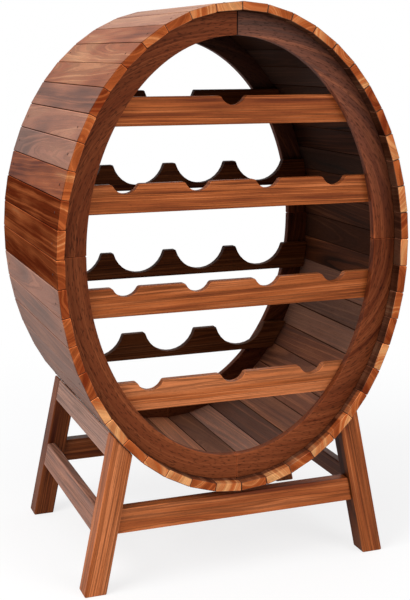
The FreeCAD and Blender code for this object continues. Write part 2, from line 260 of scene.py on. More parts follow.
def plank(name, outline, ends, edge, log, looks, rows_at=(), ladder=False):
    """An outline in the XZ plane carried along Y from one end to the other, with round rims.

    At turn a of a rim the outline draws in by edge (1 - sin a) and lies edge (1 - cos a)
    behind the sawn face. rows_at are further places of rows along Y. The sawn faces are one
    polygon each, or for a ladder a row of quads that join the outline's first half to its
    second. The mesh keeps, for the wood, each point's place in its log (grain), its looks,
    and how much lighter its edges are (edge): how far it is round an edge, times the look
    wear_and_highlight, which is wear and painted highlight. looks gives those that aren't
    plain, or is a function that gives them for places.
    """
    points, bend = counter_clockwise(*outline)
    turn = np.linspace(0, np.pi / 2, RIM_STEPS + 1)
    inset = edge * (1 - np.sin(turn))
    depth = edge * (1 - np.cos(turn))
    plain = np.zeros(len(rows_at))
    insets = np.concatenate([inset, plain, inset[::-1]])
    levels = np.concatenate([ends[0] + depth, rows_at, ends[1] - depth[::-1]])
    rim = np.concatenate([np.sin(2 * turn), plain, np.sin(2 * turn[::-1])])

    rows, count = len(levels), len(points)
    flat = points[None] + inward(points)[None] * insets[:, None, None]
    places = np.empty((rows, count, 3))
    places[..., 0] = flat[..., 0]
    places[..., 1] = levels[:, None]
    places[..., 2] = flat[..., 1]
    places = places.reshape(-1, 3)

    row, column = np.meshgrid(np.arange(rows - 1), np.arange(count), indexing="ij")
    here = row * count + column
    beside = row * count + (column + 1) % count
    sides = np.stack([here, here + count, beside + count, beside], axis=-1).reshape(-1, 4)
    cap = np.arange(count)[None]
    if ladder:
        rung = np.arange(count // 2 - 1)
        cap = np.stack([rung, rung + 1, count - 2 - rung, count - 1 - rung], axis=1)
    caps = cap.tolist() + (cap[:, ::-1] + (rows - 1) * count).tolist()

    mesh = bpy.data.meshes.new(name)
    mesh.from_pydata(places.tolist(), [], sides.tolist() + caps)
    mesh.polygons.foreach_set("use_smooth", np.ones(len(mesh.polygons), bool))
    grain = mesh.attributes.new("grain", "FLOAT_VECTOR", "POINT")
    grain.data.foreach_set("vector", np.asarray(log(places), np.float32).ravel())
    values = {**PLAIN_LOOKS, "wear_and_highlight": 1.0, **(looks(places) if callable(looks) else looks)}
    values["edge"] = np.maximum(rim[:, None], bend[None]).ravel() * values.pop("wear_and_highlight")
    for label, value in values.items():
        value = np.broadcast_to(value, len(places)).astype(np.float32)
        mesh.attributes.new(label, "FLOAT", "POINT").data.foreach_set("value", value)
    mesh.update()

    piece = bpy.data.objects.new(name, mesh)
    bpy.context.scene.collection.objects.link(piece)
    even = piece.modifiers.new("Even light on flat faces", "WEIGHTED_NORMAL")
    even.keep_sharp = False
    return piece


def in_log(draws, kind, middle, along, across):
    """Where a board lay in its log: a function from places to (along, across, through).

    The heart of the log is at (across, through) = (0, 0). Where it passes the board's middle
    and how it leans is drawn from the ranges of this kind of board, on either hand.
    """
    beside, through, leans = BOARDS[kind]
    along = np.asarray(along, float) / np.linalg.norm(along)
    across = np.asarray(across, float) / np.linalg.norm(across)
    axes = np.stack([along, across, np.cross(along, across)], axis=1)
    hand = draws.uniform(*beside) * (draws.choice([-1, 1]) if beside[0] > 0 else 1)
    heart = [hand, draws.uniform(*through)]
    lean = np.array([0.0, *(draws.uniform(-most, most) for most in leans)])
    start = np.array([draws.uniform(0, LOG_LENGTH), *heart])

    def place(points):
        local = (points - np.asarray(middle)) @ axes
        return local + start + local[:, :1] * lean

    return place


def finish(piece, material, slot, *nodes):
    """Gives a piece its material, hangs it on the root body and hides the nodes of the frame that
    it stands for.
    """
    piece.data.materials.append(bpy.data.materials[material])
    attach(piece, "root")
    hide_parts(*nodes)


def add(tree, kind, inputs, **settings):
    """Adds a shader node of a kind with its settings.

    Each input is a value, a socket that feeds it, or a node whose first output does.
    """
    node = tree.nodes.new("ShaderNode" + kind)
    for key, value in settings.items():
        setattr(node, key, value)
    for key, value in inputs.items():
        if isinstance(value, bpy.types.Node):
            value = value.outputs[0]
        if isinstance(value, bpy.types.NodeSocket):
            tree.links.new(value, node.inputs[key])
        else:
            node.inputs[key].default_value = value
    return node


def new_material(name):
    """An empty material and its node tree."""
    material = bpy.data.materials.new(name)
    material.use_nodes = True
    material.node_tree.nodes.clear()
    return material, material.node_tree


# Swings of the pattern in a metre along and across the grain. The rings stray over about
# 150 mm along it and 40 mm across. Fibres are about 33 mm long and 1.1 mm wide, as coarse as
# they need to be to show.
STRAY = (7.0, 26.0, 26.0)
FIBRES = (30.0, 900.0, 900.0)
# The middle of the rings' noise, and how close to it late wood begins and is darkest.
RING_MIDDLE = 0.52
LATE_WOOD = (0.07, 0.01)
# How much of their noise lies between closed and open pores, and how deep open pores are
# beside the unevenness of the fibres.
PORE_SLOPE = 0.12
PORE_DEPTH = -0.8
# Mean light of the fibres, and how far the roughness goes below and above the gloss.
FIBRE_LIGHT = 0.97
GLOSS_RANGE = (-0.08, 0.12)
# The stops of every ramp from dark over middle to light.
RAMP_STOPS = (0.05, 0.48, 0.95)
# For planed faces and sawn ends: how much the tone moves the bands, and the range of both.
FACE_RANGE = (0.6, 0.85, 1.75)
END_RANGE = (0.7, 0.83, 1.86)


def wood(name, reflection_haze, face, end=None, ring=2.6 * MM, broad=4.0, wander=4 * MM, gloss=0.42,
         swing=1.6, lines=0.4, fibres=0.34, pores=0.2, dash=(170.0, 1100.0), rare=0.58,
         edge_wear_and_highlight=0.2, sheen=None):
    """Planed and oiled wood, figured in the solid, so that faces and sawn ends agree.

    reflection_haze is the colour of the painted reflection haze. face holds a dark, a middle
    and a light colour, and end those of sawn ends that are fresher than the faces and carry no
    stain. ring is the mean width of a growth ring, broad that of the broader bands in rings,
    and wander how far the rings stray, in metres. gloss is the roughness of the oiled surface.
    swing is the contrast of the broad bands where the piece's figure is 1. lines and pores are
    the shares by which late wood and open pores darken it, fibres the spread of light and dark
    fibres, dash the pores in a metre along and across the grain, rare the level from which
    there are pores, and edge_wear_and_highlight the share by which edges are lighter, for wear
    and as painted highlight. sheen is the strength of the oil's reflection, or None where it
    differs from place to place.
    """
    material, tree = new_material(name)
    grain = add(tree, "Attribute", {}, attribute_name="grain").outputs["Vector"]

    def look(label):
        return add(tree, "Attribute", {}, attribute_name=label).outputs["Fac"]

    noises = []
    for scale, detail, roughness in ((STRAY, 3.0, 0.55), (FIBRES, 3.0, 0.6),
                                     ((*dash, dash[1]), 1.0, 0.5)):
        place = add(tree, "VectorMath", {0: grain, 1: scale}, operation="MULTIPLY")
        noises.append(add(tree, "TexNoise", {
            "Vector": place, "Scale": 1.0, "Detail": detail, "Roughness": roughness,
        }))
    stray, fibre, pore = noises

    # The distance from the heart of the log, across the grain, with the rings astray.
    centred = add(tree, "VectorMath", {0: stray.outputs["Color"], 1: (0.5, 0.5, 0.5)},
                  operation="SUBTRACT")
    bent = add(tree, "VectorMath", {0: centred, 1: (0.0, wander, wander), 2: grain},
               operation="MULTIPLY_ADD")
    flat = add(tree, "VectorMath", {0: bent, 1: (0.0, 1.0, 1.0)}, operation="MULTIPLY")
    radius = add(tree, "VectorMath", {0: flat}, operation="LENGTH").outputs["Value"]
    along = add(tree, "SeparateXYZ", {0: grain})

    # Uneven growth rings, and broader bands of light and dark wood every few rings.
    bands = []
    for spacing, slow, detail in ((ring, 1.5, 3.0), (ring * broad, 4.0, 2.0)):
        count = add(tree, "Math", {0: radius, 1: spacing}, operation="DIVIDE")
        drift = add(tree, "Math", {0: along, 1: slow}, operation="MULTIPLY")
        place = add(tree, "CombineXYZ", {0: count, 1: drift})
        bands.append(add(tree, "TexNoise", {
            "Vector": place, "Scale": 1.0, "Detail": detail, "Roughness": 0.6,
        }))
    swung = add(tree, "Math", {0: bands[1], 1: 0.5}, operation="SUBTRACT")
    bold = add(tree, "Math", {0: look("figure"), 1: swing}, operation="MULTIPLY")
    broader = add(tree, "Math", {0: swung, 1: bold, 2: 0.5}, operation="MULTIPLY_ADD")
    both = add(tree, "Math", {0: bands[0], 1: broader}, operation="ADD")
    offset = add(tree, "Math", {0: bands[0], 1: RING_MIDDLE}, operation="SUBTRACT")
    apart = add(tree, "Math", {0: offset}, operation="ABSOLUTE")
    late = add(tree, "MapRange", {"Value": apart, "From Min": LATE_WOOD[0],
                                  "From Max": LATE_WOOD[1]}, interpolation_type="SMOOTHSTEP")
    # Pores are short dark dashes about a millimetre wide, drawn coarse enough to show.
    opened = add(tree, "MapRange", {"Value": pore, "From Min": rare,
                                    "From Max": rare + PORE_SLOPE})

    # From the bands and the tone to the colour of the planed faces and the sawn ends.
    grounds = []
    for colours, label, (weight, lowest, highest) in ((face, "tone", FACE_RANGE),
                                                      (end, "end_tone", END_RANGE)):
        if colours is None:
            continue
        shift = add(tree, "Math", {0: look(label), 1: weight, 2: both},
                    operation="MULTIPLY_ADD")
        spread = add(tree, "MapRange", {"Value": shift, "From Min": lowest,
                                        "From Max": highest})
        ramp = add(tree, "ValToRGB", {"Fac": spread})
        elements = ramp.color_ramp.elements
        elements.new(RAMP_STOPS[1])
        for element, place, colour in zip(elements, RAMP_STOPS, colours):
            element.position = place
            element.color = colour
        grounds.append(ramp.outputs["Color"])
    # The painted reflection haze is mixed into the ground by its share.
    ground = add(tree, "Mix", {"Factor": look("painted_reflection"), "A": grounds[0], "B": reflection_haze},
                 data_type="RGBA").outputs["Result"]
    if end:
        ground = add(tree, "Mix", {"Factor": look("raw"), "A": ground, "B": grounds[1]},
                     data_type="RGBA").outputs["Result"]

    # Fibres lighten and darken the ground, late wood and pores only darken it, and edges are
    # lighter with wear and painted highlight. Stain and painted light and shade then scale it.
    light = add(tree, "MapRange", {
        "Value": fibre, "From Min": 0.3, "From Max": 0.7, "To Min": FIBRE_LIGHT - fibres / 2,
        "To Max": FIBRE_LIGHT + fibres / 2,
    })
    for mask, share in ((late, lines), (opened, pores)):
        darker = add(tree, "MapRange", {"Value": mask, "To Min": 1.0, "To Max": 1.0 - share})
        light = add(tree, "Math", {0: light, 1: darker}, operation="MULTIPLY")
    wear_and_highlight = add(tree, "Math", {0: look("edge"), 1: edge_wear_and_highlight, 2: light}, operation="MULTIPLY_ADD")
    left = add(tree, "Math", {0: wear_and_highlight, 1: look("stain_and_painted_light")}, operation="MULTIPLY")
    colour = add(tree, "VectorMath", {0: ground, "Scale": left}, operation="SCALE")

    # Open pores are dents in a surface that the fibres make slightly uneven and less glossy.
    height = add(tree, "Math", {0: opened, 1: PORE_DEPTH, 2: fibre}, operation="MULTIPLY_ADD")
    bump = add(tree, "Bump", {"Height": height, "Strength": 0.25, "Distance": 0.2 * MM})
    rough = add(tree, "MapRange", {"Value": fibre, "To Min": gloss + GLOSS_RANGE[0],
                                   "To Max": gloss + GLOSS_RANGE[1]})
    shader = add(tree, "BsdfPrincipled", {
        "Base Color": colour, "Roughness": rough, "IOR": 1.5, "Normal": bump,
        "Specular IOR Level": look("sheen") if sheen is None else sheen,
    })
    add(tree, "OutputMaterial", {"Surface": shader})


def make_woods(colours):
    """The finishes of the wood, all acacia heartwood, planed, stained or oiled."""
    stave = (colours.stave_dark, colours.stave_mid, colours.stave_light)
    inside = (colours.inside_dark, colours.inside_mid, colours.inside_light)
    sawn = (colours.end_dark, colours.end_mid, colours.end_light)
    ring = (colours.ring_dark, colours.ring_mid, colours.ring_light)
    rail = (colours.rail_dark, colours.rail_mid, colours.rail_light)
    # Oiled staves: a soft sheen over wide bands of sapwood and heartwood.
    wood("acacia_stave_oiled", colours.reflection_haze, stave, sawn, ring=3.5 * MM, broad=7.0,
         wander=9 * MM, gloss=0.52, lines=0.25, fibres=0.24, edge_wear_and_highlight=0.9)
    # Inside of the staves: dark, with little sheen.
    wood("acacia_inside_dark", colours.reflection_haze, inside, ring=3.5 * MM, broad=6.0,
         wander=6 * MM, swing=0.6, lines=0.15, fibres=0.24)
    # Dark-stained rings: a ground mottled with short dark pores, and broad dark streaks
    # where the board is figured.
    wood("acacia_ring_stained", colours.reflection_haze, ring, ring=3.5 * MM, broad=2.2, wander=6 * MM,
         gloss=0.5, swing=1.7, lines=0.2, fibres=0.28, pores=0.5, dash=(120.0, 560.0),
         rare=0.555, sheen=0.05)
    # Oiled rails and stand: straight reddish grain with dark lines of late wood. The back
    # rails hardly shine, and painted shade darkens them.
    for name, sheen in (("acacia_rail_oiled", 0.07), ("acacia_back_rail_painted_shade", 0.02)):
        wood(name, colours.reflection_haze, rail, wander=3 * MM, swing=1.3, lines=0.5, sheen=sheen)
    wood("acacia_stand_oiled", colours.reflection_haze, rail, ring=3.0 * MM, swing=1.5, lines=0.5,
         sheen=0.1)


def make_nail_steel(colour):
    """Dulled steel of the nail heads, spotted dark with oil and stain about every 1 mm."""
    material, tree = new_material("nail_steel_dulled")
    place = add(tree, "TexCoord", {}).outputs["Object"]
    spots = add(tree, "TexNoise", {"Vector": place, "Scale": 900.0, "Detail": 2.0})
    stain_and_painted_light = add(tree, "MapRange", {"Value": spots, "To Min": 0.7, "To Max": 1.3})
    mixed = add(tree, "VectorMath", {0: tuple(colour)[:3], "Scale": stain_and_painted_light}, operation="SCALE")
    shader = add(tree, "BsdfPrincipled",
                 {"Base Color": mixed, "Roughness": 0.55, "Metallic": 0.6})
    add(tree, "OutputMaterial", {"Surface": shader})


class RackOperator(bpy.types.Operator):
    """What all the builders share: each group's draws come from a seed of its own."""

    bl_options = {"REGISTER", "UNDO"}
    seed = 0

    def draws(self):
        return np.random.default_rng(self.seed)


class RACK_OT_woods(RackOperator):
    """Makes the materials of the wood and the nails"""

    bl_idname = "wine_rack.woods"
    bl_label = "Woods"

    def execute(self, context):
        make_woods(context.scene.rack_colours)
        make_nail_steel(context.scene.rack_colours.nail)
        return {"FINISHED"}


# Looks of the staves, from the top clockwise, twelve to a quarter and a digit to a stave,
# from 0 to 9: dark to light outside, at the sawn ends and inside, and how much painted
# reflection haze lies outside and inside. The inside tones are darkest at the upper right and
# lightest at the bottom, which adds to the painted light and shade there.
FACE_TONES = "885636547364 536473564635 647546433221 202142655887"
END_TONES = "632545216172 621170458085 638536711011 422031315246"
INSIDE_TONES = "110000110012 123874358279 986533333333 333333333321"
PAINTED_REFLECTIONS = "544444444444 444444444444 555555787760 001543222566"
INSIDE_PAINTED_REFLECTIONS = "000035300400 003961112242 100000000000 000000000000"

# How a stave faces, from straight down to straight up, and the painted light and shade that
# its inside, its outside and its strips in front of the ring and beside it keep, as shares
# of the light.
INSIDE_LIGHT = ((-1.0, -0.35, -0.2, 0.0, 0.3, 1.0), (3.1, 2.9, 1.7, 1.25, 0.8, 0.6))
OUTSIDE_LIGHT = ((-1.0, -0.5, -0.25, -0.2, 0.5, 0.9), (0.68, 0.7, 0.76, 1.0, 1.0, 1.38))
STRIP_LIGHT = ((-0.6, -0.5, 0.0, 0.6), (1.3, 0.28, 0.2, 0.15))
BESIDE_RING_LIGHT = ((-1.0, -0.35, -0.1, 0.6), (0.6, 0.5, 0.2, 0.15))
# Wear and painted highlight of a stave's outer edges by how it faces, and painted highlight of its
# long edges by how they face.
FACE_WEAR_AND_HIGHLIGHT = ((-0.2, 0.0), (0.35, 1.0))
LONG_EDGE_HIGHLIGHT = ((-0.6, 1.0), (0.1, 1.3))
# Wear of a rim, and how much painted highlight one that faces up has on top of it. An edge
# that faces up by 1 / LIT_SLOPE gets all of it.
RIM_WEAR = 0.35
LIT_RIM_HIGHLIGHT = 1.3
LIT_SLOPE = 1.5
# Where the dark of a rim gives way to the wood behind it, in roundings of the sawn end, and
# where the painted highlight does.
DARK_RIM = (0.0, 0.1)
LIT_RIM = (0.5, 0.9)
# Staves that face down more than this lie at the bottom.
BOTTOM_STAVES = -0.55
# The joints are open to this depth under the outer face.
JOINT_DEPTH = 4 * MM
# Depths between which the strip in front of a ring changes to the darker tone and painted shade
# beside the ring.
RING_SHADE_EDGE = (8 * MM, 11 * MM)
# Length over which the light beside a ring gives way to the light behind it.
BEHIND_RING = 1 * MM
# Share of freshly sawn wood in a stave without painted reflection haze, and how much darker it
# makes the stave.
FRESH = 0.75
FRESH_SHADE = 0.4
# Share of the painted reflection haze inside that is left at the middle of a stave.
CLEAR = 0.75
# Strength of the oil's reflection on a stave with painted reflection haze.
STAVE_SHEEN = 0.1
# Depths between which a stave's outer edge goes dark in its joint, a dark joint line with
# painted shade, and how much further out the painted shade comes on an edge that faces down.
SEAM_DEPTHS = (0.4 * MM, 0.8 * MM)
SEAM_SHADOW = 0.4 * MM


def digits(row):
    """The digits of a row, as shares from 0 to 1."""
    return np.array([int(mark) for mark in row.replace(" ", "")]) / 9


def stave_looks(sizes, marks, corners, run, outward, ends):
    """The looks of a stave, as a function of places.

    Across its thickness a look goes from its value on the outer face to that in the seams
    and on to that inside. Along the stave the inside's own value goes from the strip in
    front of the ring to the one beside it, the wood behind it and the stave's middle. The
    light in these looks is painted, by how the stave and its edges face. The rims of the
    sawn ends are dark joint lines, except those that face up, which get a painted highlight,
    but not at the upper right, which lies in painted shadow.
    """
    tone, end_tone, inner_tone, painted_reflection, inner_painted_reflection = marks
    centre = corners.mean(axis=0)
    under = outward[1] < BOTTOM_STAVES
    # The upper right lies in painted shadow, where rims and inner edges get no painted highlight.
    shadow = centre[0] > 0 and centre[1] > MIDDLE
    fresh = FRESH * max(0.0, 1 - 3 * painted_reflection)
    # Painted light and shade of the inside, the outside, the strip in front of the ring and the
    # part beside it, and the wear and painted highlight of the outer edges, by how the stave faces.
    inside, outside, strip, beside, edge_wear_and_highlight = (
        np.interp(outward[1], *light) for light in (INSIDE_LIGHT, OUTSIDE_LIGHT, STRIP_LIGHT,
                                                    BESIDE_RING_LIGHT, FACE_WEAR_AND_HIGHLIGHT))
    inner_wear_and_highlight = 0.1 if shadow else 0.7
    inner_sheen = STAVE_SHEEN * (0.6 if under else 0.15)
    # On the outer face, in the seams, and inside, from in front of the ring to the middle.
    faces = {
        "tone": (tone, tone, 0.2, 0.3, inner_tone, inner_tone),
        "end_tone": (tone, tone, end_tone if under else 0.1, 0.1, end_tone, end_tone),
        # The painted reflection haze, on the outer face and inside.
        "painted_reflection": (0.6 * painted_reflection, 0.3 * painted_reflection, 0.0, 0.0, inner_painted_reflection, CLEAR * inner_painted_reflection),
        # Painted light and shade by how the stave faces, a dark joint with painted shade in the
        # seams, and a darker face where the wood is fresh.
        "stain_and_painted_light": (outside * (1 - FRESH_SHADE * fresh), 0.25, strip, beside, inside, inside),
        "sheen": (STAVE_SHEEN * min(1.0, 3 * painted_reflection), 0.0, 0.0, 0.0, inner_sheen, inner_sheen),
        "raw": (fresh, 0.0, 1.0 if under else 0.0, 0.0, 0.0, 0.0),
        # Wear and painted highlight of the edges, low inside where the painted shadow lies.
        "wear_and_highlight": (edge_wear_and_highlight, 1.0, inner_wear_and_highlight, inner_wear_and_highlight, inner_wear_and_highlight, inner_wear_and_highlight),
    }
    zones = (*RING_SHADE_EDGE, RING_FACES[0], RING_FACES[1] - BEHIND_RING, RING_FACES[1],
             (BARREL_BACK - BARREL_FRONT) / 2)

    def looks(places):
        points = places[:, [0, 2]]
        level = from_end(places, ends)
        depth = (corners[0] - points) @ outward
        up = np.sign((points - centre) @ run) * run[1]
        outer_half = depth < sizes.thickness / 2
        # Painted shade: on an edge that faces down the dark of the joint starts further out.
        shaded = depth + np.where(outer_half, SEAM_SHADOW * (0.5 - 0.5 * up), 0)
        outer = np.interp(shaded, SEAM_DEPTHS, (1, 0))
        inner = np.interp(shaded - sizes.thickness, (-SEAM_DEPTHS[1], 0), (0, 1))
        values = {}
        for label, (face, seam, strip, beside, behind, middle) in faces.items():
            within = np.interp(level, zones, (strip, beside, beside, behind, behind, middle))
            values[label] = seam + outer * (face - seam) + inner * (within - seam)

        # Rims that face up get a painted highlight, except in the painted shadow at the upper
        # right.
        joint = (depth > SEAM_DEPTHS[1]) & (depth < sizes.thickness - SEAM_DEPTHS[0])
        lit = np.where(joint & (not shadow), np.clip(LIT_SLOPE * up, 0, 1), 0)
        rims = level / sizes.end
        start, stop = (dark + lit * (bright - dark) for dark, bright in zip(DARK_RIM, LIT_RIM))
        behind_rim = np.clip((rims - start) / (stop - start), 0, 1)
        for label, sawn in (("end_tone", end_tone), ("raw", 1.0), ("stain_and_painted_light", 1.0)):
            values[label] = sawn + behind_rim * (values[label] - sawn)
        # Wear of the rims with their painted highlight, and of the long edges with more painted
        # highlight where they face up.
        rim_wear_and_highlight = RIM_WEAR + LIT_RIM_HIGHLIGHT * lit * np.interp(rims, DARK_RIM, (0, 1))
        long_wear_and_highlight = values["wear_and_highlight"] * np.interp(up, *LONG_EDGE_HIGHLIGHT)
        values["wear_and_highlight"] = rim_wear_and_highlight + np.clip(rims - 1, 0, 1) * (long_wear_and_highlight - rim_wear_and_highlight)
        return values

    return looks


class RACK_OT_staves(RackOperator):
    """Builds the staves of the barrel, each from its own board"""

    bl_idname = "wine_rack.staves"
    bl_label = "Staves"
    seed = 11

    def execute(self, context):
        sizes = context.scene.rack_barrel
        draws = self.draws()
        turns = joint_turns(sizes)
        outside = oval(turns, sizes)
        inside = oval(turns, sizes, sizes.thickness)
        # The joints are open near the outer face and tight from there on.
        tight = JOINT_DEPTH / sizes.thickness
        zones = np.array([*RING_SHADE_EDGE, *RING_FACES])
        rows = [np.resize(digits(row), 4 * sizes.quarter)
                for row in (FACE_TONES, END_TONES, INSIDE_TONES, PAINTED_REFLECTIONS, INSIDE_PAINTED_REFLECTIONS)]
        for number, marks in enumerate(zip(*rows)):
            following = number + 1
            corners = np.array([outside[number], outside[following],
                                inside[following], inside[number]])
            run = corners[1] - corners[0]
            run /= np.linalg.norm(run)
            outward = np.array([-run[1], run[0]])
            corners[:, 1] += MIDDLE
            right, left = (corners[outer] + tight * (corners[inner] - corners[outer])
                           for outer, inner in ((1, 2), (0, 3)))
            corners[:2] -= outward * draws.uniform(0, sizes.unevenness)
            corners[:2] += run * sizes.seam * np.array([[1], [-1]])
            outline = soften(np.array([*corners[:2], right, *corners[2:], left]),
                             np.array([1, 1, 0, 1, 1, 0]) * sizes.corner)
            short = draws.uniform(0, sizes.unevenness, 2)
            ends = (BARREL_FRONT + short[0], BARREL_BACK - short[1])
            centre = corners.mean(axis=0)
            log = in_log(draws, "stave", (centre[0], 0.0, centre[1]),
                         (0, draws.choice([-1, 1]), 0), (run[0], 0, run[1]))
            piece = plank(f"stave_{following:02d}", outline, ends, sizes.end, log,
                          stave_looks(sizes, marks, corners, run, outward, ends),
                          (*(ends[0] + zones), sum(ends) / 2, *(ends[1] - zones[::-1])))
            finish(piece, "acacia_stave_oiled", "stave_wood",
                   f"stave_pair_{number // 2 + 1:02d}")
            piece.data.materials.append(bpy.data.materials["acacia_inside_dark"])
            centres = np.empty(3 * len(piece.data.polygons))
            piece.data.polygons.foreach_get("center", centres)
            centres = centres.reshape(-1, 3)
            depth = (corners[0] - centres[:, [0, 2]]) @ outward
            behind = from_end(centres, (BARREL_FRONT, BARREL_BACK)) > RING_FACES[0]
            inner = behind & (depth > sizes.thickness - sizes.corner)
            piece.data.polygons.foreach_set("material_index", inner.astype(np.int32))
        return {"FINISHED"}


# The quarters of a ring, clockwise: tone, boldness of the figure, painted light and painted
# reflection haze at their two ends, painted light at the opening and beside the staves, where
# it is painted shadow at the right, and how much flatter than the oval the grain runs. The
# two lower ones are from one board, so that their joint hardly shows.
QUARTERS = {
    "upper_right": ((0.25, 0.68), (1.0, 1.0), (1.0, 1.0), (0.2, 0.0), (1.12, 0.6), 0.33),
    "lower_right": ((0.4, 1.1), (1.0, 0.45), (0.86, 1.0), (0.0, 0.0), (1.06, 0.9), 0.65),
    "lower_left": ((1.15, 0.7), (0.45, 0.45), (1.0, 1.0), (0.0, 0.0), (1.0, 1.0), 0.05),
    "upper_left": ((0.7, 0.7), (0.45, 0.45), (1.0, 1.0), (0.0, 0.0), (1.0, 1.0), 0.33),
}
# Steps of a ring's outline to a stave.
RING_STEPS = 4
# Half the width of a glue line, and the light that it keeps at the top, where the joint is dark,
# and at the others, where painted light lies over the shade of the groove.
GLUE_HALF = 2 * MM
GLUE_TOP = 0.25
GLUE_LIGHT = 1.4
# Sizes of the oval, in openings of the ring, between which its painted light changes, and
# the painted light that it keeps on its inner face, where it is painted shade, and in front
# of that.
OPENING_TO_STAVES = (1.02, 1.1)
INNER_FACE_LIGHT = ((0.0, 2 * MM), (0.5, 1.0))
# How far across and through from the middle of a quarter the heart of its log passes.
RING_HEARTS = ((0.05, 0.09), (0.01, 0.03))


def in_bent_log(sizes, level, heart, flat, side):
    """Like in_log, for a ring's quarter: the grain runs round the oval, but flatter.

    A place at turn t, counted from the top for side 1 and from the bottom for side -1, and
    at s times the size of the ring's middle oval, lies t times that oval's mean radius R
    along the grain, and (s - 1) times its own radius less flat times R sin^2 t across it.
    """
    reach = sizes.thickness + sizes.ring_width / 2
    radii = np.array([sizes.half_width - reach, sizes.half_height - reach])

    def place(points):
        share = (points[:, [0, 2]] - (0.0, MIDDLE)) / radii
        scale = np.linalg.norm(share, axis=1)
        along = np.arctan2(side * share[:, 0], side * share[:, 1]) * radii.mean()
        local = np.linalg.norm(share / scale[:, None] * radii, axis=1)
        across = (scale - 1) * local - flat * radii.mean() * (share[:, 0] / scale) ** 2
        return np.stack([along, across + heart[0], points[:, 1] - level + heart[1]], axis=1)

    return place


def ring_looks(sizes, turn, quarter, ends, inner_face):
    """The looks of the turn-th quarter of a ring clockwise, as a function of places.

    They change evenly round the quarter. Painted shadow darkens the ring beside the staves at
    right and painted shade its face towards the inside, and its glue lines, on the oval's two
    axes, are dark at the top and lightened with painted light elsewhere.
    """
    tones, figures, lights, reflection_hazes, beside_staves, _ = quarter
    opening = np.array([sizes.half_width, sizes.half_height]) - sizes.thickness - sizes.ring_width

    def looks(places):
        offset = places[:, [0, 2]] - (0.0, MIDDLE)
        angle = np.arctan2(offset[:, 0], offset[:, 1]) % (2 * np.pi)
        if turn == len(QUARTERS) - 1:
            # The last quarter ends at the top, where the angle starts anew.
            angle = np.where(angle < 1, 2 * np.pi, angle)
        tone, figure, light, reflection_haze = (np.interp(angle * 2 / np.pi - turn, (0, 1), pair)
                                     for pair in (tones, figures, lights, reflection_hazes))
        scale = np.linalg.norm(offset / opening, axis=1)
        # Painted shadow beside the staves, and painted shade on the face towards the inside.
        light = light * np.interp(scale, OPENING_TO_STAVES, beside_staves)
        light = light * np.interp(np.abs(places[:, 1] - inner_face), *INNER_FACE_LIGHT)
        upright, level = (np.abs(offset) < GLUE_HALF).T
        glue = np.where(upright & (offset[:, 1] > 0), GLUE_TOP,
                        np.where(upright | level, GLUE_LIGHT, 1.0))
        behind_rim = np.interp(from_end(places, ends) / sizes.end, DARK_RIM, (0, 1))
        return {"tone": tone, "figure": figure, "painted_reflection": reflection_haze,
                "stain_and_painted_light": light * (1 + behind_rim * (glue - 1))}

    return looks


class RACK_OT_rings(RackOperator):
    """Builds the two recessed rings, each of four butted quarters"""

    bl_idname = "wine_rack.rings"
    bl_label = "Rings"
    seed = 23

    def execute(self, context):
        sizes = context.scene.rack_barrel
        draws = self.draws()
        turns = joint_turns(sizes)
        inset = sizes.thickness + sizes.ring_width
        hearts = {(side, end): [draws.uniform(*reach) for reach in RING_HEARTS]
                  for side in ("upper", "lower") for end in ("front", "back")}
        joints = np.arange(sizes.quarter + 1)
        stations = np.linspace(0, sizes.quarter, RING_STEPS * sizes.quarter + 1)
        last = len(stations) - 1
        for turn, (place, quarter) in enumerate(QUARTERS.items()):
            span = turns[turn * sizes.quarter:(turn + 1) * sizes.quarter + 1]
            corners = oval(span, sizes, sizes.thickness)
            outer = np.stack([np.interp(stations, joints, corners[:, axis])
                              for axis in (0, 1)], axis=1)
            bend = np.interp(stations, joints, span)[::-1]
            inner = np.stack([(sizes.half_width - inset) * np.sin(bend),
                              (sizes.half_height - inset) * np.cos(bend)], axis=1)
            points = np.vstack([outer, inner])
            radii = np.zeros(len(points))
            radii[[0, last, last + 1, -1]] = sizes.corner
            # The joints are open by a seam, except the one at the bottom.
            for joint, (ends, run) in enumerate((((0, -1), outer[1] - outer[0]),
                                                 ((last, last + 1), outer[-2] - outer[-1]))):
                if turn + joint != 2:
                    points[list(ends)] += run / np.linalg.norm(run) * sizes.seam
            points[:, 1] += MIDDLE
            outline = soften(points, radii)
            for end in ("front", "back"):
                node = f"{end}_ring_{place}"
                faces = [corner[1] for corner in box_of(node)]
                across, through = hearts[place[:5], end]
                log = in_bent_log(sizes, faces[0],
                                  (-across if place == "upper_left" else across, through),
                                  quarter[-1], 1 if place.startswith("upper") else -1)
                looks = ring_looks(sizes, turn, quarter, faces, faces[end == "front"])
                piece = plank(node + "_dressed", outline, faces, sizes.end, log, looks,
                              ladder=True)
                finish(piece, "acacia_ring_stained", "ring_wood", node)
        return {"FINISHED"}


def notch(radius, depth, shoulder):
    """A notch in a top edge, from its right shoulder to its left one.

    The notch is a circle whose middle lies (radius - depth) above the edge. Each shoulder is
    a circle below the edge that touches both the edge and the notch from inside the wood.
    """
    rise = radius - depth
    reach = math.sqrt((radius + shoulder) ** 2 - (rise + shoulder) ** 2)
    lean = math.atan2(rise + shoulder, reach)
    rounding = np.linspace(np.pi / 2, np.pi - lean, CORNER_STEPS + 1)
    right = np.stack([reach + shoulder * np.cos(rounding),
                      shoulder * np.sin(rounding) - shoulder], axis=1)
    sweep = np.linspace(-lean, lean - np.pi, NOTCH_STEPS)
    middle = np.stack([radius * np.cos(sweep), rise + radius * np.sin(sweep)], axis=1)
    return np.vstack([right, middle[1:-1], right[::-1] * (-1, 1)])


